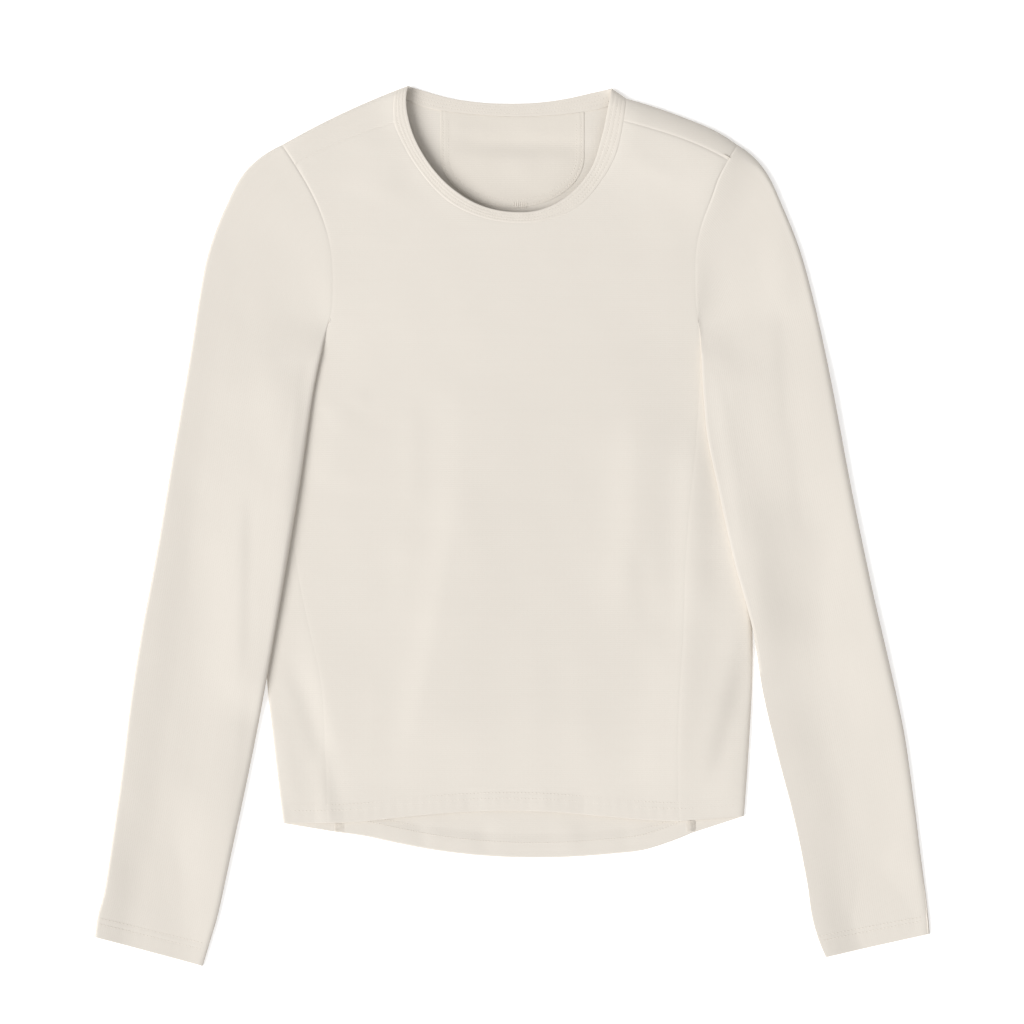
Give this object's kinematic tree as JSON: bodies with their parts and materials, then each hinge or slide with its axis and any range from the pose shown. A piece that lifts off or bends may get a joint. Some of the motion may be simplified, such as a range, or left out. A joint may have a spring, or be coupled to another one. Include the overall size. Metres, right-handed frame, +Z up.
{
  "type": "thermal base layer top",
  "caption": "Long-sleeved thermal base layer top laid flat, with crew neck binding, forward shoulder seams, side panels, curved hem and a dropped tail.",
  "frame": {"origin": "middle of the garment's outline on the surface that it lies on", "axes": "+Z up off the surface, +Y from the hem towards the neck, +X towards the garment's left sleeve, on the right as seen from above"},
  "size_m": [0.685, 0.722, 0.0157],
  "materials": {
    "thermal_jersey": "smooth ivory thermal jersey with faint fine ribs",
    "neck_binding": "folded ivory jersey binding with cover stitch",
    "neck_patch": "ivory jersey facing"
  },
  "bodies": {
    "root": {"front_panel": "thermal_jersey", "back_panel": "thermal_jersey", "side_panel_left": "thermal_jersey", "side_panel_right": "thermal_jersey", "sleeve_left_upper": "thermal_jersey", "sleeve_left_lower": "thermal_jersey", "sleeve_right_upper": "thermal_jersey", "sleeve_right_lower": "thermal_jersey", "neckband": "neck_binding", "back_neck_patch": "neck_patch"}
  },
  "joints": []
}
